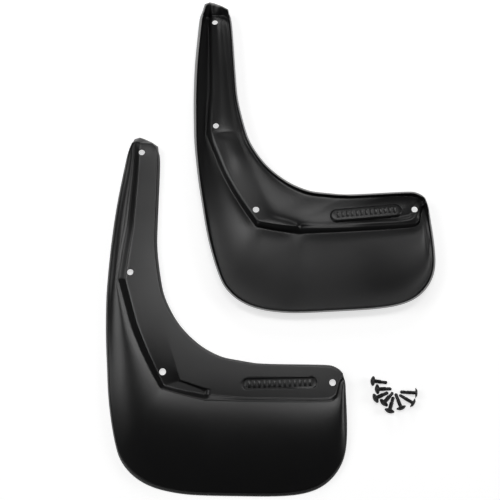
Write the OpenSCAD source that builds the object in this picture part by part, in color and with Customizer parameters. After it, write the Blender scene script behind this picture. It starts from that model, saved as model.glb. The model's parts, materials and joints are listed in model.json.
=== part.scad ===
// A pair of moulded mud flaps for a car's rear wheels, with their eight drill-point screws.
// The left flap lies with its wheel side up and the right flap, its mirror twin, with its back up.

/* [Flap] */
// Wall thickness of the moulding
wall = 3; // [2.6:0.1:3.4]
// Height of the raised band above the foot of the rim
band_h = 14; // [12:0.5:16]
// How far the mounting flange lies below the band
flange_drop = 6.5; // [5:0.5:7]
// How much further the band falls at the stem's outer edge
stem_fall = 5; // [3:0.5:6]
// How much the flange rises towards the stem's top
stem_rise = 3.5; // [0:0.5:4]
// How much the blade falls at its outer edge
blade_fall = 4; // [1:0.5:5]
// How much the band falls from the stem to the blade's end
blade_dip = 3.5; // [0:0.5:4]
// Height of the crown across the stem's band
crown = 1.2; // [0:0.2:2]
// Height of the crown across the blade, as a share of its width
blade_crown = 0.03; // [0:0.005:0.03]
// Plan width of the sloped outer rim
rim_draft = 3.5; // [1:0.5:4]
// Plan width of the sloped inner rim
inner_draft = 2.2; // [0.5:0.1:2.5]
// Depth of the pocket at the corner hole
pocket_depth = 2.8; // [1:0.2:3]

/* [Mounting holes] */
// Diameter of the four holes in each flap
hole_d = 7; // [5:0.5:7]

/* [Name panel] */
// Length of the blank name panel
panel_len = 80; // [60:1:84]
// Width of the blank name panel
panel_w = 13; // [9:0.5:14]
// Depth of the blank name panel
panel_depth = 1; // [0.4:0.2:1.4]

/* [Screw] */
// Diameter of the washer head
head_d = 10.5; // [9:0.5:10.5]
// Height of the washer head
head_h = 2.4; // [1.8:0.1:3]
// Length under the head
shank_len = 16; // [13:0.5:16]
// Outer diameter of the thread
thread_d = 4.2; // [3.9:0.1:4.8]
// Root diameter of the thread
root_d = 3.1; // [2.8:0.1:3.2]
// Pitch of the thread
pitch = 1.4; // [1.2:0.1:1.8]
// Diameter of the drill point
drill_d = 3.3; // [3:0.1:3.4]
// Length of the drill point
drill_len = 6; // [4:0.5:7]

/* [Layout] */
// Turn of the right flap on the table, in degrees
right_turn = 3.9; // [0:0.1:5]

/* [Hidden] */

left_place = [-183.2, -292.6];
right_place = [-74, -113.1];

// Plan of the flap, one row per station from the stem's top round the corner to the blade's end:
// the inner edge, the pocket's line, the foot and the head of the step, the outer edge.
PLAN = [
    [[47.5, 395], [42, 398.8], [35.5, 402.3], [31, 405], [24.5, 405]],
    [[51.3, 386.5], [42, 387.5], [29.5, 388], [26, 388], [16, 391]],
    [[53.4, 377], [44, 378], [29.5, 378], [25.8, 378], [13.2, 377]],
    [[54, 360], [44, 360], [29.5, 360], [25.6, 360], [10.5, 358]],
    [[54, 322], [45, 322], [28, 322], [23.8, 322], [5.5, 320]],
    [[54, 287], [46, 287], [27, 287], [22, 287], [2.6, 286]],
    [[55, 262], [47, 262], [24, 262], [18.5, 262], [1, 258]],
    [[60.5, 228], [50, 228], [21, 228], [15.3, 227], [0, 222]],
    [[66, 207], [57, 207], [26, 211], [21, 209], [0.3, 199]],
    [[80, 181], [64.5, 183], [36.5, 177], [31.5, 175], [2.3, 163]],
    [[97, 162.5], [71.5, 160.5], [48, 151], [43, 149], [5.7, 130]],
    [[113, 150.5], [79, 137], [58, 131], [54, 128], [10.5, 88]],
    [[131, 142.3], [85, 116.8], [67.5, 111.5], [66, 108], [24, 38]],
    [[149, 138.7], [99, 112.3], [90, 105.7], [90, 101.2], [50, 12]],
    [[168, 135.6], [112.8, 107.8], [112.5, 101.7], [113, 95.8], [92, 2]],
    [[192, 134.7], [150, 107], [150, 98], [150, 94.7], [150, 0]],
    [[218, 134.5], [195, 107], [194, 97.4], [194, 94.1], [206, 0.5]],
    [[236, 134.2], [226, 106], [224, 97], [224, 94], [238, 11]],
    [[247, 133.6], [241, 108], [245, 97.2], [246.5, 94.4], [257, 34]],
    [[252.5, 131.5], [248, 117], [251, 101.5], [253, 99.8], [262, 62]],
    [[257, 128.6], [254.2, 122], [254.5, 115.5], [256, 115.2], [262.4, 94]],
    [[260, 124.6], [260.4, 123], [260.9, 121.2], [261.3, 119.6], [262.2, 113]],
];
last = len(PLAN) - 1;
// Rings to each station, and how far the end walls reach along the stations
steps = 3;
top_wall = 0.6;
end_wall = 0.3;

flange_h = band_h - flange_drop;
HOLES = [[32.8, 381.8], [26.3, 236.2], [66.4, 125.7], [247.8, 114.2]];
panel_at = [191.6, 113.3];
panel_tilt = 1.3;
panel_rim = 1;

// Where each screw's head is and which way its shank points
SCREWS = [
    [106, -176.4, -5], [110.2, -185.3, 3], [108, -195.4, 24], [116.8, -200.6, 45],
    [123, -209.2, 69], [136.6, -206.2, 106], [150.2, -200.6, 146], [154.4, -189.2, 175],
];
// The chisel edge of the drill point, and the cross recess in the head
chisel = 1;
cross_len = 4.6;
cross_w = 1;
cross_depth = 1.6;
neck_fillet = 0.4;
dome_reach = 0.96;
dome_share = 0.75;
// One turn of the thread: share of the thread's depth, share of the pitch
THREAD_FORM = [[0, 0.15], [1, 0.45], [1, 0.5], [0, 0.8]];
// A screw on its side rests on its head's rim and its drill point
screw_tilt = atan((head_d - drill_d) / 2 / (shank_len - chisel));

// A smooth curve through the points p, where t counts the points
function spline(p, t) =
    let (i = min(floor(t), len(p) - 2), f = t - i,
         a = p[max(i - 1, 0)], b = p[i], c = p[i + 1], d = p[min(i + 2, len(p) - 1)])
    b + 0.5 * f * (c - a + f * (2 * a - 5 * b + 4 * c - d + f * (3 * (b - c) + d - a)));
// Straight lines through the points p
function line(p, t) = let (i = min(floor(t), len(p) - 2)) p[i] + (t - i) * (p[i + 1] - p[i]);
function column(k) = [for (row = PLAN) row[k]];
function mix(a, b, f) = a + (b - a) * f;
// The point d from a towards b, but never past the share most of the way
function toward(a, b, d, most = 0.45) = mix(a, b, min(d / max(norm(b - a), 0.01), most));
function at(p, z) = [p[0], p[1], z];

// Share of the way from the stem's form to the blade's form
function blade_share(t) = clamp((t - 9) / 5);
function step_h(t) = band_h - blade_dip * clamp((t - 10) / 6);
function flange_z(t) = flange_h + stem_rise * max(4 - t, 0) / 4;
function edge_h(t) = step_h(t) - mix(stem_fall, blade_fall, blade_share(t)) * min(t / 3, 1)
    * min(max(last - t, 0) / 2 + 0.3, 1);
// The pocket deepens from station 8.6, gets a wall of its own by station 12, and ends past 14
function clamp(x) = min(max(x, 0), 1);
function pocket(t) = pocket_depth * (t < 12 ? clamp((t - 8.6) / 3.4) : clamp(1 - (t - 14) / 0.08));
function pocket_wall(t) = clamp((t - 11.3) / 0.7);

// One row of points across the flap: the outside when skin is 0, and the inside when it is the wall
function row(t, skin) =
    let (inner = spline(column(0), t), crease = line(column(1), t), foot = line(column(2), t),
         head = line(column(3), t), outer = spline(column(4), t),
         solid = skin > 0 && (t < top_wall + end_wall + 0.01 || t > last - end_wall - 0.01),
         slant = 0.45 * skin,
         top = toward(outer, head, rim_draft + skin * 0.8),
         high = flange_z(t),
         low = high - pocket(t),
         rise = min(t / top_wall, 1),
         brow = toward(head, outer, slant, 0.2),
         bulge = mix(crown, blade_crown * norm(outer - head), blade_share(t)))
    let (pts = [
        at(toward(inner, crease, skin, 0.5), 0),
        at(toward(inner, crease, skin + inner_draft, 0.7), high),
        at(toward(crease, foot, slant, 0.2), high),
        at(toward(crease, foot, 2.2 + slant, 0.5), mix(high, low, pocket_wall(t))),
        at(toward(foot, head, slant, 0.4), low),
        at(brow, step_h(t)),
        for (f = [0.25, 0.5, 0.75])
            at(mix(brow, top, f), mix(step_h(t), edge_h(t), f * f) + 4 * bulge * f * (1 - f)),
        at(top, edge_h(t)),
        at(toward(outer, head, skin, 0.4), 0)])
    [for (k = [0 : len(pts) - 1])
        let (end = k == 0 || k == len(pts) - 1)
        at(pts[k], end ? 0 : solid ? 0.02 : max(pts[k][2] * rise, 0.6) - skin)];

function backwards(p) = [for (i = [len(p) - 1 : -1 : 0]) p[i]];
STATIONS = concat([0, top_wall, top_wall + end_wall, top_wall + end_wall + 0.04],
    [for (i = [steps : steps * 14]) i / steps], [14.08],
    [for (i = [steps * 14 + 1 : steps * last - steps + 1]) i / steps],
    [last - end_wall - 0.04, last - end_wall, last]);
RINGS = [for (t = STATIONS) concat(row(t, 0), backwards(row(t, wall)))];
flap_top = max([for (r = RINGS) for (p = r) p[2]]);

module skin() {
    n = len(RINGS[0]);
    m = len(RINGS);
    sides = [for (i = [0 : m - 2]) for (k = [0 : n - 1])
        [i * n + k, (i + 1) * n + k, (i + 1) * n + (k + 1) % n, i * n + (k + 1) % n]];
    near = [for (k = [0 : n / 2 - 2]) [k, k + 1, n - 2 - k, n - 1 - k]];
    far = [for (f = near) [for (v = backwards(f)) v + (m - 1) * n]];
    polyhedron([for (r = RINGS) for (p = r) p], concat(sides, near, far));
}

module stadium(length, width, height) {
    linear_extrude(height) {
        square([length - width, width], center = true);
        for (x = [-1, 1]) translate([x * (length - width) / 2, 0]) circle(d = width, $fn = 48);
    }
}

module on_panel(z) {
    translate([panel_at[0], panel_at[1], z]) rotate(panel_tilt) children();
}

module flap() {
    difference() {
        union() {
            skin();
            on_panel(flange_h - wall - panel_depth) stadium(panel_len, panel_w, wall);
        }
        on_panel(flange_h - panel_depth)
            stadium(panel_len - 2 * panel_rim, panel_w - 2 * panel_rim, wall + 1);
        for (h = HOLES) translate([h[0], h[1], -1]) cylinder(d = hole_d, h = band_h + 2, $fn = 64);
    }
}

module left_flap() {
    color("#26272a") translate([left_place[0], left_place[1], 0]) flap();
}

module right_flap() {
    color("#26272a") translate([right_place[0], right_place[1], flap_top]) rotate(right_turn)
        mirror([0, 0, 1]) flap();
}

// A screw along +Z, from the top of its domed head at 0 to its chisel point
module screw() {
    tip = head_h + shank_len;
    drill_at = tip - drill_len;
    turns = floor((shank_len - drill_len) / pitch);
    dome = [for (a = [0 : 15 : 75])
        [head_d / 2 * dome_reach * sin(a), head_h * dome_share * (1 - cos(a))]];
    neck = [[head_d / 2, head_h * 0.85], [head_d / 2, head_h],
        [root_d / 2 + neck_fillet, head_h], [root_d / 2, head_h + neck_fillet]];
    thread = [for (i = [0 : turns - 1]) for (p = THREAD_FORM)
        [mix(root_d, thread_d, p[0]) / 2, head_h + neck_fillet + pitch * (i + p[1])]];
    point = [[root_d / 2, drill_at], [drill_d / 2, drill_at + 0.3],
        [drill_d / 2, tip - chisel], [0, tip]];
    difference() {
        rotate_extrude($fn = 64) polygon(concat(dome, neck, thread, point));
        for (turn = [0, 90]) rotate(turn) translate([0, 0, cross_depth / 2 - 0.5])
            cube([cross_len, cross_w, cross_depth + 1], center = true);
    }
}

module laid_screw(i) {
    s = SCREWS[i];
    rise = head_d / 2 * cos(screw_tilt) + head_h * sin(screw_tilt);
    color("#333438") translate([s[0], s[1], rise])
        rotate([0, 90 + screw_tilt, s[2]]) screw();
}

left_flap();
right_flap();
for (i = [0 : 7])
    laid_screw(i);
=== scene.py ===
"""A pair of moulded car mud flaps and their eight drill-point screws, laid out on a pale table.

The left flap lies with its wheel side up, and the right flap, its mirror twin, with its back up.
Sizes are in millimetres and are turned into metres where a mesh is made.
"""

import json
import math

import bmesh
import bpy
from mathutils import Matrix, Vector


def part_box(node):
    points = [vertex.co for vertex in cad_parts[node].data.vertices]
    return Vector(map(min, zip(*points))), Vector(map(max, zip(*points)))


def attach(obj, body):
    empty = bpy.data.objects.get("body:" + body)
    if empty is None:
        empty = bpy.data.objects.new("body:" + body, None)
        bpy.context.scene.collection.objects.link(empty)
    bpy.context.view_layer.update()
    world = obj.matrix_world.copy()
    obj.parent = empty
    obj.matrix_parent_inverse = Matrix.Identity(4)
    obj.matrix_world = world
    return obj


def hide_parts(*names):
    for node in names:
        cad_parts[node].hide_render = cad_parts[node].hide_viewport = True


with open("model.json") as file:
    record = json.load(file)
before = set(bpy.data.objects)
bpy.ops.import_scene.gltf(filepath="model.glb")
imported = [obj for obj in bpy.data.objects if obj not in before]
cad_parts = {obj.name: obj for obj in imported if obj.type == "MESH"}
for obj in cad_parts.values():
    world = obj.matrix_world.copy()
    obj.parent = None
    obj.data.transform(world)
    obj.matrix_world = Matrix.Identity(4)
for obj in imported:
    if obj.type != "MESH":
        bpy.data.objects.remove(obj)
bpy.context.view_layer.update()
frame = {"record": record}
MM = 0.001


# --- Camera ------------------------------------------------------------------------------------

def aim(thing, place, target, up="Y"):
    """Puts a camera or a lamp at place, looking at target."""
    thing.location = place
    thing.rotation_euler = (Vector(target) - Vector(place)).to_track_quat("-Z", up).to_euler()


def make_camera():
    distance, lean = 790 * MM, math.radians(17.6)
    target = Vector((-23.2, -28.4, 0)) * MM
    bpy.ops.object.camera_add()
    camera = bpy.context.object
    camera.data.lens = 50
    camera.data.sensor_width = 36
    camera.data.clip_start = 0.02
    aim(camera, target + distance * Vector((0, -math.sin(lean), math.cos(lean))), target)
    bpy.context.scene.camera = camera


make_camera()


# --- Shader maths ------------------------------------------------------------------------------

class Sock:
    """A node socket that adds Math nodes when it is used in an expression."""

    def __init__(self, mat, socket):
        self.mat, self.socket = mat, socket

    def node(self, kind, values=(), out=0, **settings):
        """Adds any node: its settings first, then the values or links of its sockets."""
        made = self.mat.node_tree.nodes.new(kind)
        for key, value in settings.items():
            setattr(made, key, value)
        for key, value in dict(values).items():
            if isinstance(value, Sock):
                self.mat.node_tree.links.new(value.socket, made.inputs[key])
            else:
                made.inputs[key].default_value = value
        return Sock(self.mat, made.outputs[out])

    def maths(self, operation, *values, **settings):
        return self.node("ShaderNodeMath", dict(enumerate(values)), operation=operation, **settings)

    def __add__(self, other):
        return self.maths("ADD", self, other)

    __radd__ = __add__

    def __mul__(self, other):
        return self.maths("MULTIPLY", self, other)

    __rmul__ = __mul__

    def __sub__(self, other):
        return self.maths("SUBTRACT", self, other)

    def __rsub__(self, other):
        return self.maths("SUBTRACT", other, self)

    def clamp(self):
        return self.maths("ADD", self, 0.0, use_clamp=True)

    def noise(self, scale, detail=3.0, roughness=0.5, stretch=(1, 1, 1)):
        """Noise of that many waves to a metre, read at this place."""
        place = self.node("ShaderNodeMapping", {"Vector": self, "Scale": stretch})
        return self.node("ShaderNodeTexNoise", {"Vector": place, "Scale": scale,
                                                "Detail": detail, "Roughness": roughness})

    def mix(self, low, high):
        """The colour low where this is 0 and the colour high where it is 1."""
        return self.node("ShaderNodeMix", {0: self, 6: (*low, 1), 7: (*high, 1)}, out=2,
                         data_type="RGBA")

    def bump(self, strength, distance):
        return self.node("ShaderNodeBump", {"Height": self, "Strength": strength,
                                            "Distance": distance})


def new_material(name, **constants):
    """A principled material with its constants set, and a socket at its Object coordinates."""
    mat = bpy.data.materials.new(name)
    mat.use_nodes = True
    shader = mat.node_tree.nodes["Principled BSDF"]
    for key, value in constants.items():
        shader.inputs[key.replace("_", " ")].default_value = value
    coordinates = mat.node_tree.nodes.new("ShaderNodeTexCoord")
    return mat, shader, Sock(mat, coordinates.outputs["Object"])


def plug(shader, **sockets):
    """Links expressions to the shader's sockets."""
    for key, value in sockets.items():
        value.mat.node_tree.links.new(value.socket, shader.inputs[key.replace("_", " ")])


# --- Materials ---------------------------------------------------------------------------------

# Pale grey painted on the rim's foot as a painted highlight, where light would catch its edge
RIM_HIGHLIGHT_GREY = (0.3, 0.3, 0.3)
# Specular level of the flange and bands, and of the darker copy of the plastic that paints shade on
# the blade's middle
SATIN_SHINE, SHADED_COPY_SHINE = 0.4, 0.1
# Most of the way that the blade's middle goes towards the darker copy, as painted shade
BLADE_SHADE_SHARE = 0.9
# Emission that lifts the table to white where the camera sees it
TABLE_LIFT = 0.66


def moulded_plastic():
    """Satin black thermoplastic: moulded grain, flow clouds, painted shade on the blade's middle
    and a pale grey painted highlight on the rim's foot.
    """
    mat, satin, place = new_material("satin_black_plastic", IOR=1.5,
                                     Specular_IOR_Level=SATIN_SHINE)
    grain = place.noise(2600, 2.0, 0.6)
    clouds = place.noise(22, 3.0, 0.55)
    flow = place.noise(9, 2.0, 0.5, stretch=(1, 0.35, 1))
    scuffs = ((place.noise(170, 4.0, 0.7, stretch=(1, 0.2, 1)) - 0.6) * 5.0).clamp()
    # Masks of painted light: a painted highlight on the rim's foot and painted shade on the blade's
    # middle
    rim = place.node("ShaderNodeAttribute", out=2, attribute_name="painted_rim_highlight")
    blade = place.node("ShaderNodeAttribute", out=2, attribute_name="painted_blade_shade")
    tone = (0.25 * clouds + 0.35 * flow + 0.25 * grain + 0.15 * scuffs).clamp()
    # The rim's foot is painted pale grey as a painted highlight, and made rougher
    rim_highlight = (rim * (0.8 + 0.4 * grain)).clamp()
    skin = tone.mix((0.005, 0.005, 0.0052), (0.011, 0.011, 0.0113))
    paint = {"Base_Color": place.node("ShaderNodeMix", {0: rim_highlight, 6: skin, 7: (*RIM_HIGHLIGHT_GREY, 1)},
                                      out=2, data_type="RGBA"),
             "Roughness": 0.25 + 0.07 * clouds + 0.05 * grain + 0.04 * scuffs + 0.2 * rim,
             "Normal": (grain + 0.3 * clouds).bump(0.12, 0.00012)}
    # A darker copy of the same plastic, with less specular, mixed over the blade's middle as
    # painted shade
    shaded_copy = mat.node_tree.nodes.new("ShaderNodeBsdfPrincipled")
    shaded_copy.inputs["IOR"].default_value = 1.5
    shaded_copy.inputs["Specular IOR Level"].default_value = SHADED_COPY_SHINE
    plug(satin, **paint)
    plug(shaded_copy, **paint)
    blend = place.node("ShaderNodeMixShader", {0: blade * BLADE_SHADE_SHARE,
                                               1: Sock(mat, satin.outputs[0]),
                                               2: Sock(mat, shaded_copy.outputs[0])})
    mat.node_tree.links.new(blend.socket, mat.node_tree.nodes["Material Output"].inputs["Surface"])
    return mat


def black_screw():
    """Black phosphated steel: near-black crystals, with bare metal rubbed through in places."""
    mat, shader, place = new_material("black_phosphate", IOR=1.5, Metallic=0.0)
    crystals = place.noise(5200, 3.0, 0.65)
    patches = place.noise(420, 4.0, 0.6)
    worn = ((patches - 0.6) * 7.0).clamp()
    plug(shader,
         Base_Color=(0.5 * worn + 0.5 * crystals).clamp().mix((0.012, 0.012, 0.013),
                                                               (0.055, 0.054, 0.053)),
         Metallic=0.35 + 0.45 * worn,
         Roughness=0.38 + 0.12 * crystals - 0.1 * worn,
         Normal=crystals.bump(0.2, 0.00005))
    return mat


def table_top():
    """The pale table: plain for every other ray, and lifted to white where the camera sees it."""
    mat, shader, place = new_material("pale_table", Roughness=0.8)
    mottle = place.noise(6, 2.0, 0.5)
    plug(shader, Base_Color=mottle.mix((0.86, 0.86, 0.86), (0.88, 0.88, 0.88)))
    tree = mat.node_tree
    lifted = tree.nodes.new("ShaderNodeBsdfPrincipled")
    lifted.inputs["Roughness"].default_value = 0.8
    lifted.inputs["Emission Color"].default_value = (1, 1, 1, 1)
    lifted.inputs["Emission Strength"].default_value = TABLE_LIFT
    plug(lifted, Base_Color=mottle.mix((0.52, 0.52, 0.52), (0.54, 0.54, 0.54)))
    rays = tree.nodes.new("ShaderNodeLightPath")
    seen = tree.nodes.new("ShaderNodeMixShader")
    tree.links.new(rays.outputs["Is Camera Ray"], seen.inputs[0])
    tree.links.new(shader.outputs[0], seen.inputs[1])
    tree.links.new(lifted.outputs[0], seen.inputs[2])
    tree.links.new(seen.outputs[0], tree.nodes["Material Output"].inputs["Surface"])
    return mat


# --- Hand tools --------------------------------------------------------------------------------

def only(thing):
    """Selects thing alone and makes it active."""
    bpy.ops.object.select_all(action="DESELECT")
    thing.select_set(True)
    bpy.context.view_layer.objects.active = thing


def named(name):
    """Names the object that was just added, and its mesh."""
    thing = bpy.context.object
    thing.name = thing.data.name = name
    return thing


def modify(thing, kind, **settings):
    """Adds a modifier with its settings and applies it."""
    only(thing)
    bpy.ops.object.modifier_add(type=kind)
    modifier = thing.modifiers[-1]
    for key, value in settings.items():
        setattr(modifier, key, value)
    bpy.ops.object.modifier_apply(modifier=modifier.name)


def cut(thing, tool, operation="DIFFERENCE"):
    """Joins the tool to thing, or cuts it away, and throws the tool away."""
    modify(thing, "BOOLEAN", object=tool, operation=operation, solver="EXACT")
    bpy.data.objects.remove(tool)


def settle(thing):
    """Puts the object's place into its mesh."""
    only(thing)
    bpy.ops.object.transform_apply(location=True, rotation=True, scale=True)


def choose(thing, test, domain="VERT"):
    """Enters edit mode with the points, or the faces, that pass the test selected."""
    only(thing)
    bpy.ops.object.mode_set(mode="EDIT")
    bpy.ops.mesh.select_mode(type=domain)
    bpy.ops.mesh.select_all(action="DESELECT")
    sculpt = bmesh.from_edit_mesh(thing.data)
    for item in (sculpt.verts if domain == "VERT" else sculpt.faces):
        item.select_set(bool(test(item)))
    sculpt.select_flush(True)
    bmesh.update_edit_mesh(thing.data)


def done():
    bpy.ops.object.mode_set(mode="OBJECT")


def built_up(name, steps, half_len, half_w, sides=64):
    """A round or long-round body along +Z: a disc, raised and resized through its steps.

    Each step is how far the outline has grown, and its height.
    """
    grow, height = steps[0]
    bpy.ops.mesh.primitive_circle_add(vertices=sides, radius=(half_w + grow) * MM,
                                      fill_type="NGON", location=(0, 0, height * MM))
    body = named(name)
    settle(body)
    stretch = half_len - half_w
    if stretch > 0:
        for side in (-1, 1):
            choose(body, lambda v: v.co.x * side > 1e-6)
            bpy.ops.transform.translate(value=(side * stretch * MM, 0, 0))
            done()
    choose(body, lambda f: True, "FACE")
    for next_grow, next_height in steps[1:]:
        bpy.ops.mesh.extrude_region_move(
            TRANSFORM_OT_translate={"value": (0, 0, (next_height - height) * MM)})
        bpy.ops.transform.resize(value=((half_len + next_grow) / (half_len + grow),
                                        (half_w + next_grow) / (half_w + grow), 1),
                                 center_override=(0, 0, 0))
        grow, height = next_grow, next_height
    bpy.ops.mesh.select_all(action="SELECT")
    bpy.ops.mesh.normals_make_consistent(inside=False)
    done()
    return body


def placed(thing, x, y, z=0.0, turn=0.0):
    """Moves a finished tool to its place on the flap and turns it about +Z."""
    thing.location = (x * MM, y * MM, z * MM)
    thing.rotation_euler = (0, 0, math.radians(turn))
    settle(thing)
    return thing


# --- Flap ----------------------------------------------------------------------------------------

WALL = 3
BAND_H = 14
FLANGE_H = 7.5
STEM_RISE = 3.5
STEM_FALL = 5
BLADE_FALL = 4
BLADE_DIP = 3.5
STEM_CROWN = 0.045
BLADE_CROWN = 0.03
RIM_DRAFT = 3.5
INNER_DRAFT = 2.2
FOOT_ROUND = 0.35
THICK_RIM = 5.2  # the rim's wall along the stem
STEM_END = 10
# Stations and columns of the back that are rubbed smooth: behind the flange, behind the blade
BACK_STATIONS = (8.6, 16)
BACK_FLANGE, BACK_BLADE = (4, 11), (18, 21)
# Height of the rim's foot that carries the pale grey painted highlight, and the fade above it
RIM_HIGHLIGHT_HEIGHT, RIM_HIGHLIGHT_FADE = 0.5, 0.7
# Middle of the blade's painted shade, how far it reaches along and across, and where it fades
# out, as shares of that reach
BLADE_MIDDLE, BLADE_REACH = (135, 40), (165, 85)
BLADE_SHADE_END, BLADE_SHADE_FADE = 1.1, 0.7
FOLD = 0.5
POCKET_DEPTH = 2.8
HOLE_R = 3.5
HOLES = {"top": (32.8, 381.8), "middle": (26.3, 236.2),
         "corner": (66.4, 125.7), "end": (247.8, 114.2)}
PANEL = {"x": 191.6, "y": 113.3, "turn": 1.3, "half_len": 40, "half_w": 6.5, "depth": 1}
BAR_COUNT, BAR_PITCH, BAR_W, BAR_LEN, BAR_RISE = 13, 5.4, 3, 7.2, 0.6

# Plan of the flap, one row per station from the stem's top round the corner to the blade's end:
# the inner edge, the pocket's line, the foot and the head of the step, the outer edge.
PLAN = [
    [(50.5, 393.5), (43.5, 398.8), (34, 403.6), (28, 405.8), (21.5, 403.5)],
    [(52.3, 383.5), (44, 386.5), (29.5, 387), (26, 387), (15, 385.5)],
    [(53.4, 377), (44, 378), (29.5, 378), (25.8, 378), (13.2, 377)],
    [(54, 360), (44, 360), (29.5, 360), (25.6, 360), (10.5, 358)],
    [(54, 322), (45, 322), (28, 322), (23.8, 322), (5.5, 320)],
    [(54, 287), (46, 287), (27, 287), (22, 287), (2.6, 286)],
    [(55, 262), (47, 262), (24, 262), (18.5, 262), (1, 258)],
    [(60.5, 228), (50, 228), (21, 228), (15.3, 227), (0, 222)],
    [(66, 207), (57, 207), (26, 211), (21, 209), (0.3, 199)],
    [(80, 181), (64.5, 183), (36.5, 177), (31.5, 175), (2.3, 163)],
    [(97, 162.5), (71.5, 160.5), (48, 151), (43, 149), (5.7, 130)],
    [(113, 150.5), (79, 137), (58, 131), (54, 128), (10.5, 88)],
    [(131, 142.3), (85, 116.8), (67.5, 111.5), (66, 108), (24, 38)],
    [(149, 138.7), (99, 112.3), (90, 105.7), (90, 101.2), (50, 12)],
    [(168, 135.6), (112.8, 107.8), (112.5, 101.7), (113, 95.8), (92, 2)],
    [(192, 134.7), (150, 107), (150, 98), (150, 94.7), (150, 0)],
    [(218, 134.5), (195, 107), (194, 97.4), (194, 94.1), (206, 0.5)],
    [(236, 134.2), (226, 106), (224, 97), (224, 94), (238, 11)],
    [(247, 133.6), (241, 108), (245, 97.2), (246.5, 94.4), (257, 34)],
    [(252.5, 131.5), (248, 117), (251, 101.5), (253, 99.8), (262, 62)],
    [(257, 128.6), (254.2, 122), (254.5, 115.5), (256, 115.2), (262.4, 94)],
    [(260, 124.6), (260.4, 123), (260.9, 121.2), (261.3, 119.6), (262.2, 113)],
]
LAST = len(PLAN) - 1
# The same five points along the top of the stem's end wall
TOP_EDGE = [(51.2, 386.8), (44.5, 392.9), (30.5, 393.1), (27, 393.9), (17.5, 391.5)]
# Stations of the step's kinks, the pocket's end, and the walls at the two ends of the flap
KINKS = (6.9, 7, 7.1, 11.85, 12, 12.15)
POCKET_END = (13.9, 14, 14.08, 14.2)
TOP_WALL, BLADE_WALL = 0.6, 0.3
TOP_END = (0, 0.08, 0.5, 0.6, 0.7, 0.85)
BLADE_END = (0.42, 0.3, 0.25, 0.04, 0)


def spline(points, t):
    """A smooth curve through the points, where t counts them."""
    i = min(int(t), len(points) - 2)
    f = t - i
    a, b, c, d = (Vector(points[min(max(k, 0), len(points) - 1)]) for k in range(i - 1, i + 3))
    return b + 0.5 * f * (c - a + f * (2 * a - 5 * b + 4 * c - d + f * (3 * (b - c) + d - a)))


def near_top(k, t):
    """The plan's point k close to the stem's top, by way of the top of the end wall."""
    first, top, second = Vector(PLAN[0][k]), Vector(TOP_EDGE[k]), Vector(PLAN[1][k])
    if t < TOP_WALL:
        return first.lerp(top, t / TOP_WALL)
    return top.lerp(second, (t - TOP_WALL) / (1 - TOP_WALL))


def line(points, t):
    """Straight lines through the points, which may be plain numbers."""
    i = min(int(t), len(points) - 2)
    return points[i] + (t - i) * (points[i + 1] - points[i])


def toward(a, b, distance, most=0.45):
    """The point distance from a towards b, but never past the share most of the way."""
    return a.lerp(b, min(distance / max((b - a).length, 0.01), most))


def limit(value, low=0.0, high=1.0):
    return min(max(value, low), high)


def ease(share):
    """A share held between 0 and 1, starting and ending gently."""
    share = limit(share)
    return share * share * (3 - 2 * share)


def step_height(t):
    return BAND_H - BLADE_DIP * ease((t - 10) / 6)


def flange_height(t):
    return FLANGE_H + STEM_RISE * max(4 - t, 0) / 4


def blade_share(t):
    """Share of the way from the stem's form to the blade's form."""
    return ease((t - 9) / 5)


def edge_height(t):
    fall = STEM_FALL + (BLADE_FALL - STEM_FALL) * blade_share(t)
    return step_height(t) - fall * min(t / 3, 1) * min(max(LAST - t, 0) / 2 + 0.3, 1)


def pocket_depth(t):
    """The pocket deepens from station 8.6 and ends just past station 14."""
    return POCKET_DEPTH * (limit((t - 8.6) / 3.4) ** 2 if t < 12 else limit(1 - (t - 14) / 0.08))


def pocket_floor(t, share):
    """Height of the flange between the pocket's line, share 0, and the step's foot, share 1."""
    wall = limit((t - 11.3) / 0.7)
    return flange_height(t) - pocket_depth(t) * (share + (1 - share) * wall)


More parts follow.
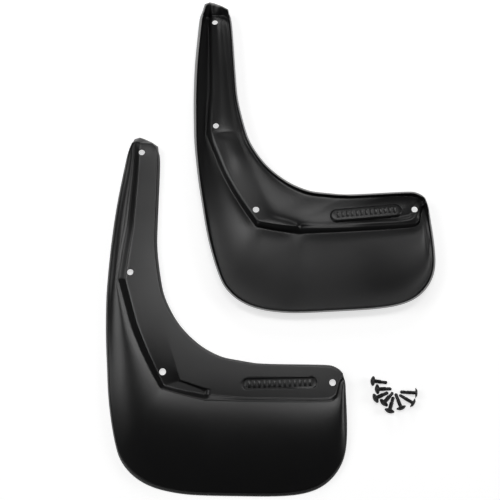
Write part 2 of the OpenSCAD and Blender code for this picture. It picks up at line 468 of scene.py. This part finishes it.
def flap_row(t):
    """The cage's points across the flap at station t, from the inner rim to the outer one."""
    columns = [[Vector(row[k]) for row in PLAN] for k in range(5)]
    inner, outer = spline(columns[0], t), spline(columns[4], t)
    crease, foot, head = (line(columns[k], t) for k in (1, 2, 3))
    if t < 1:
        inner, crease, foot, head, outer = (near_top(k, t) for k in range(5))
    high, low = flange_height(t), pocket_floor(t, 1)
    top, edge = step_height(t), edge_height(t)
    brow = toward(head, outer, 1.2, 0.12)
    rim = toward(outer, head, RIM_DRAFT)
    rest = toward(rim, head, 2.2, 0.2)
    across = max((foot - crease).length, 0.01)
    even = spline(columns[3], t) if t >= 1 else head
    width = max((outer - even).length, 0.01)
    crown = width * (STEM_CROWN + (BLADE_CROWN - STEM_CROWN) * blade_share(t))
    lean, fall = 4 * crown / width, min((2 * (top - edge) + 4 * crown) / width, 0.8)
    row = [(inner, 0), (toward(inner, crease, 0.25), 2.4),
           (toward(inner, crease, INNER_DRAFT - 0.5), high - 1.4),
           (toward(inner, crease, INNER_DRAFT), high),
           (toward(inner, crease, INNER_DRAFT + 1.4), high),
           (inner.lerp(crease, 0.5), high), (toward(crease, inner, 3.2, 0.35), high),
           (toward(crease, inner, 1.2, 0.2), high), (crease, high)]
    for step in (1.1, 2.2):
        share = min(step / across, 0.3)
        row.append((crease.lerp(foot, share), pocket_floor(t, share)))
    row += [(crease.lerp(foot, 0.55), pocket_floor(t, 0.55)),
            (toward(foot, crease, 1.2, 0.25), low), (foot, low),
            (foot.lerp(head, 0.5), (low + top) / 2), (head, top - lean * (brow - head).length),
            (brow, top)]
    for f in (0.12, 0.3, 0.5, 0.7, 0.88):
        height = top + (edge - top) * f * f + 4 * crown * f * (1 - f)
        if f == 0.3:
            height += FOLD * limit(1 - abs(t - 7) / 2.6)
        row.append((brow.lerp(even, min(2 * f, 1)).lerp(rest, f), height))
    low_edge = edge - 0.7 * fall * (rim - rest).length
    row += [(rest, edge), (rim, low_edge), (rim.lerp(outer, 0.25), low_edge * 0.78),
            (rim.lerp(outer, 0.86), 2.4), (outer, 0)]
    return row


def stations():
    """Where the cage's rows stand along the flap, closer at its ends and at the step's kinks."""
    halves = [k / 2 for k in range(2, 2 * LAST)]
    close = KINKS + POCKET_END + TOP_END + tuple(LAST - e for e in BLADE_END)
    return sorted(set(halves + list(close)))


def end_rise(t):
    """How far the surface has risen from the rim's foot at the two ends of the flap."""
    return min(limit(t / TOP_WALL), limit((LAST - t) / BLADE_WALL))


def flap_skin(name):
    """The outer skin: a grid laid along the flap, turned down to the rim on all four sides."""
    along = stations()
    across = len(flap_row(0))
    bpy.ops.mesh.primitive_grid_add(x_subdivisions=len(along) - 1, y_subdivisions=across - 1,
                                    size=2)
    skin = named(name)
    thick = skin.vertex_groups.new(name="thick_rim")
    for v in skin.data.vertices:
        t = along[round((v.co.x + 1) / 2 * (len(along) - 1))]
        k = round((v.co.y + 1) / 2 * (across - 1))
        place, height = flap_row(t)[k]
        height *= end_rise(t)
        v.co = Vector((place.x, place.y, height if height > 0 else -FOOT_ROUND)) * MM
        if k > across - 3:
            thick.add([v.index], limit((STEM_END - t) / 4), "REPLACE")
    choose(skin, lambda f: True, "FACE")
    if sum(f.normal.z * f.calc_area() for f in bmesh.from_edit_mesh(skin.data).faces) < 0:
        bpy.ops.mesh.flip_normals()
    done()
    return skin


def smooth_back(shell, front):
    """Rubs the back smooth where the creases of the front show through it."""
    along = stations()
    low, high = BACK_STATIONS

    def behind(v, columns):
        row, station = divmod(v.index - front, len(along))
        return columns[0] <= row <= columns[1] and low < along[station] < high

    for columns, times in ((BACK_FLANGE, 10), (BACK_BLADE, 6)):
        choose(shell, lambda v: behind(v, columns))
        bpy.ops.mesh.vertices_smooth(factor=0.5, repeat=times)
        done()


def flap_shell(name):
    """The skin given its wall, with a thicker rim along the stem, smoothed and set flat."""
    shell = flap_skin(name)
    front = len(shell.data.vertices)
    modify(shell, "SOLIDIFY", thickness=THICK_RIM * MM, offset=-1, use_even_offset=True,
           vertex_group="thick_rim", thickness_vertex_group=WALL / THICK_RIM,
           thickness_clamp=1.0, edge_crease_inner=0.9, edge_crease_outer=0.6)
    smooth_back(shell, front)
    modify(shell, "SUBSURF", levels=2, render_levels=2, boundary_smooth="PRESERVE_CORNERS")
    choose(shell, lambda v: v.co.z < 0)
    bpy.ops.transform.resize(value=(1, 1, 0), center_override=(0, 0, 0))
    done()
    return shell


def hole_tool(name, height):
    """A drill with rounded shoulders, so that both edges of the hole come out softened."""
    soft = 0.5
    top, low = height, height - WALL
    steps = [(2.0, low - 2), (1.3, low - 0.12), (0.7, low + 0.2), (0.2, low + soft + 0.4),
             (0, low + soft + 1),
             (0, top - soft), (0.15, top - 0.2), (0.42, top - 0.02), (0.5, top + 2)]
    return built_up(name, steps, HOLE_R, HOLE_R)


def panel_bars(name, low, high):
    """A row of plain bars across the name panel, in place of lettering."""
    bpy.ops.mesh.primitive_cube_add(size=MM, scale=(BAR_W, BAR_LEN, high - low))
    bars = named(name)
    settle(bars)
    choose(bars, lambda f: f.normal.z > 0.5, "FACE")
    bpy.ops.mesh.bevel(offset=0.3 * MM, segments=2, affect="EDGES")
    done()
    modify(bars, "ARRAY", count=BAR_COUNT, use_relative_offset=False, use_constant_offset=True,
           constant_offset_displace=(BAR_PITCH * MM, 0, 0))
    first = -BAR_PITCH * (BAR_COUNT - 1) / 2
    only(bars)
    bpy.ops.transform.translate(value=(first * MM, 0, (low + high) / 2 * MM))
    settle(bars)
    return placed(bars, PANEL["x"], PANEL["y"], turn=PANEL["turn"])


def make_panel(flap):
    """The name panel: a boss behind, a rounded recess in front, and plain bars in it."""
    x, y, turn = PANEL["x"], PANEL["y"], PANEL["turn"]
    half_len, half_w, depth = PANEL["half_len"], PANEL["half_w"], PANEL["depth"]
    back, floor = FLANGE_H - WALL, FLANGE_H - depth
    boss = built_up("panel_boss", [(1.4, back + 0.9), (0.75, back - 0.08), (0.25, back - 0.35),
                                   (0, back - depth + 0.4), (-0.2, back - depth + 0.1),
                                   (-0.6, back - depth)], half_len, half_w)
    cut(flap, placed(boss, x, y, turn=turn), "UNION")
    recess = built_up("panel_recess", [(-1.7, floor), (-1.1, floor + 0.1), (-0.85, floor + 0.35),
                                       (-0.75, FLANGE_H - 0.35), (-0.45, FLANGE_H - 0.05),
                                       (0.1, FLANGE_H + 0.12), (1.0, FLANGE_H + 1)],
                      half_len, half_w)
    cut(flap, placed(recess, x, y, turn=turn))
    cut(flap, panel_bars("raised_bars", floor - 0.4, floor + BAR_RISE), "UNION")
    cut(flap, panel_bars("rib_marks", back - depth - 1, back - depth + 0.25))


def make_flap(name):
    """One flap in its own place: shell, name panel and four holes."""
    flap = flap_shell(name)
    make_panel(flap)
    for label, (hole_x, hole_y) in HOLES.items():
        height = {"top": flange_height(1.62), "corner": FLANGE_H - 2.2}.get(label, FLANGE_H)
        cut(flap, placed(hole_tool("drill", height), hole_x, hole_y))
    return flap


def place_flap(flap, side, upside_down):
    """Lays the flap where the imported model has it, found from its first and last holes."""
    mounts = {m["name"]: Vector(m["pos_m"]) for m in frame["record"]["mounts"]}
    first, last = (mounts[f"{side}_{label}_hole"].xy for label in ("top", "end"))
    own_first, own_last = (Vector(HOLES[label]) * MM for label in ("top", "end"))
    turn = (own_first - own_last).angle_signed(first - last)
    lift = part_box(f"{side}_flap")[1].z if upside_down else 0
    rotation = Matrix.Rotation(-turn, 4, "Z")
    moved = rotation @ own_first.to_3d()
    shift = Matrix.Translation(Vector((first.x - moved.x, first.y - moved.y, lift)))
    mirror = Matrix.Scale(-1, 4, Vector((0, 0, 1))) if upside_down else Matrix()
    flap.data.transform(shift @ rotation @ mirror)
    if upside_down:
        choose(flap, lambda f: True, "FACE")
        bpy.ops.mesh.normals_make_consistent(inside=False)
        done()


def smooth(thing, degrees):
    only(thing)
    bpy.ops.object.shade_smooth_by_angle(angle=math.radians(degrees))


def finish_piece(piece, material, node):
    """Gives the piece its material and hands it to the frame in place of its CAD node."""
    piece.data.materials.clear()
    piece.data.materials.append(material)
    for face in piece.data.polygons:
        face.material_index = 0
    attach(piece, node)
    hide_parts(node)


def mark_painted_light(flap):
    """Marks where the plastic's material paints light: a pale grey painted highlight on the rim's
    foot, and painted shade on the blade's middle.
    """
    marks = flap.data.attributes
    for name in ("painted_rim_highlight", "painted_blade_shade"):
        marks.new(name, "FLOAT", "POINT")
    middle = Vector(BLADE_MIDDLE)
    for v in flap.data.vertices:
        away = v.co.xy / MM - middle
        share = math.hypot(away.x / BLADE_REACH[0], away.y / BLADE_REACH[1])
        marks["painted_rim_highlight"].data[v.index].value = ease(1 - (v.co.z / MM - RIM_HIGHLIGHT_HEIGHT) / RIM_HIGHLIGHT_FADE)
        marks["painted_blade_shade"].data[v.index].value = ease((BLADE_SHADE_END - share) / BLADE_SHADE_FADE)


def make_flaps():
    plastic = moulded_plastic()
    flap = make_flap("left_flap_moulding")
    mark_painted_light(flap)
    only(flap)
    bpy.ops.object.duplicate()
    twin = named("right_flap_moulding")
    place_flap(flap, "left", False)
    place_flap(twin, "right", True)
    for piece, node in ((flap, "left_flap"), (twin, "right_flap")):
        smooth(piece, 32)
        finish_piece(piece, plastic, node)


# --- Screws --------------------------------------------------------------------------------------

HEAD_R, HEAD_H = 5.25, 2.4
SHANK, DRILL, PITCH = 16, 6, 1.4
ROOT_R, DRILL_R = 1.7, 1.8
TIP = HEAD_H + SHANK
SCREW_TILT = math.atan((HEAD_R - DRILL_R) / (SHANK - 1))
# Which way each screw's shank points on the table, in degrees from +X
HEADINGS = (-5, 3, 24, 45, 69, 106, 146, 175)


def screw_core(name):
    """Domed head with its washer, neck and shank, built up from the head to the point."""
    drill = TIP - DRILL
    outline = [(0.7, 0), (2.0, 0.06), (3.1, 0.28), (3.8, 0.7), (4.1, 1.2), (4.3, 1.42),
               (4.9, 1.52), (5.2, 1.7), (HEAD_R, 1.95), (HEAD_R, 2.2), (5.1, HEAD_H),
               (2.3, HEAD_H), (1.8, 2.6), (ROOT_R, 3.0), (ROOT_R, drill), (DRILL_R, drill + 0.3),
               (DRILL_R, TIP - 1.1), (1.1, TIP - 0.7), (0.25, TIP)]
    return built_up(name, [(r - HEAD_R, z) for r, z in outline], HEAD_R, HEAD_R, sides=48)


def screw_thread(name):
    """A sharp ridge wound round the shank, its two ends sunk into it."""
    turns = int((SHANK - DRILL) / PITCH)
    bpy.ops.mesh.primitive_circle_add(vertices=3, radius=0.62 * MM, fill_type="NOTHING",
                                      location=((ROOT_R + 0.02) * MM, 0, (HEAD_H + 0.5) * MM),
                                      rotation=(math.pi / 2, math.pi / 2, 0))
    thread = named(name)
    settle(thread)
    modify(thread, "SCREW", axis="Z", angle=2 * math.pi, screw_offset=PITCH * MM,
           iterations=turns - 1, steps=24, render_steps=24)
    choose(thread, lambda v: True)
    bpy.ops.mesh.remove_doubles(threshold=0.001 * MM)
    bpy.ops.mesh.fill_holes(sides=0)
    bpy.ops.mesh.normals_make_consistent(inside=False)
    done()
    return thread


def screw_cutters():
    """The cross recess in the head and the two flutes of the drill point."""
    for turn in (0, 90):
        bpy.ops.mesh.primitive_cube_add(size=MM, scale=(4.4, 0.95, 3), location=(0, 0, 0))
        blade = named("cross")
        settle(blade)
        choose(blade, lambda v: v.co.z > 0)
        bpy.ops.transform.resize(value=(0.45, 0.75, 1), center_override=(0, 0, 0))
        done()
        yield placed(blade, 0, 0, turn=turn)
    for side in (-1, 1):
        bpy.ops.mesh.primitive_cylinder_add(vertices=20, radius=1.1 * MM, depth=7 * MM,
                                            location=(side * 1.55 * MM, 0, (TIP - 2.4) * MM),
                                            rotation=(side * 0.22, 0, 0))
        flute = named("flute")
        settle(flute)
        yield flute


def make_screws():
    """One screw is made along +Z, then copied and laid down where each CAD screw lies."""
    finish = black_screw()
    screw = screw_core("screw_1_black")
    cut(screw, screw_thread("thread"), "UNION")
    for cutter in list(screw_cutters()):
        cut(screw, cutter)
    smooth(screw, 30)
    shape = screw.data.copy()
    for number, heading in enumerate(HEADINGS, 1):
        node = f"screw_{number}"
        if number == 1:
            piece = screw
        else:
            only(screw)
            bpy.ops.object.duplicate()
            piece = named(node + "_black")
            piece.data = shape.copy()
        lie = Matrix.Rotation(math.radians(heading), 4, "Z")
        lean = Matrix.Rotation(math.pi / 2 + SCREW_TILT, 4, "Y")
        roll = Matrix.Rotation(number * 1.1, 4, "Z")
        piece.data.transform(lie @ lean @ roll)
        corners = [[f(v.co[k] for v in piece.data.vertices) for k in range(3)] for f in (min, max)]
        low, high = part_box(node)
        middle = (Vector(corners[0]) + Vector(corners[1])) / 2
        shift = (low + high) / 2 - middle
        shift.z = low.z - corners[0][2]
        piece.data.transform(Matrix.Translation(shift))
        finish_piece(piece, finish, node)


# --- Table and lamps ---------------------------------------------------------------------------

LAMP_DISTANCE = 1.9
# Light from the studio's walls, and how much brighter the camera sees them
WALL_LIGHT, WALL_SEEN = 0.02, 0.93


def make_table():
    bpy.ops.mesh.primitive_plane_add(size=8)
    table = named("table")
    table.data.materials.append(table_top())


def softbox(name, heading, height, power, width=0.9, depth=0.9):
    """A softbox facing the origin: heading in degrees clockwise from +Y, height as an angle."""
    bpy.ops.object.light_add(type="AREA")
    lamp = named(name)
    lamp.data.shape = "RECTANGLE"
    lamp.data.size, lamp.data.size_y = width, depth
    lamp.data.energy = power
    around, up = math.radians(heading), math.radians(height)
    place = LAMP_DISTANCE * Vector((math.sin(around) * math.cos(up),
                                    math.cos(around) * math.cos(up), math.sin(up)))
    aim(lamp, place, (0, 0, 0))


def make_lights():
    softbox("right_softbox", 90, 26, 11)
    softbox("back_softbox", 2, 24, 9)
    softbox("left_softbox", 285, 43, 11)
    softbox("front_left_softbox", 222, 21, 4)
    softbox("top_softbox", 5, 76, 9.0, 0.9, 0.35)
    world = bpy.data.worlds.new("studio")
    world.use_nodes = True
    tree = world.node_tree
    tree.nodes["Background"].inputs["Color"].default_value = (1, 1, 1, 1)
    rays = tree.nodes.new("ShaderNodeLightPath")
    level = tree.nodes.new("ShaderNodeMath")
    level.operation = "MULTIPLY_ADD"
    level.inputs[1].default_value = WALL_SEEN
    level.inputs[2].default_value = WALL_LIGHT
    tree.links.new(rays.outputs["Is Camera Ray"], level.inputs[0])
    tree.links.new(level.outputs[0], tree.nodes["Background"].inputs["Strength"])
    bpy.context.scene.world = world
    bpy.context.scene.view_settings.view_transform = "Standard"


make_flaps()
make_screws()
make_table()
make_lights()
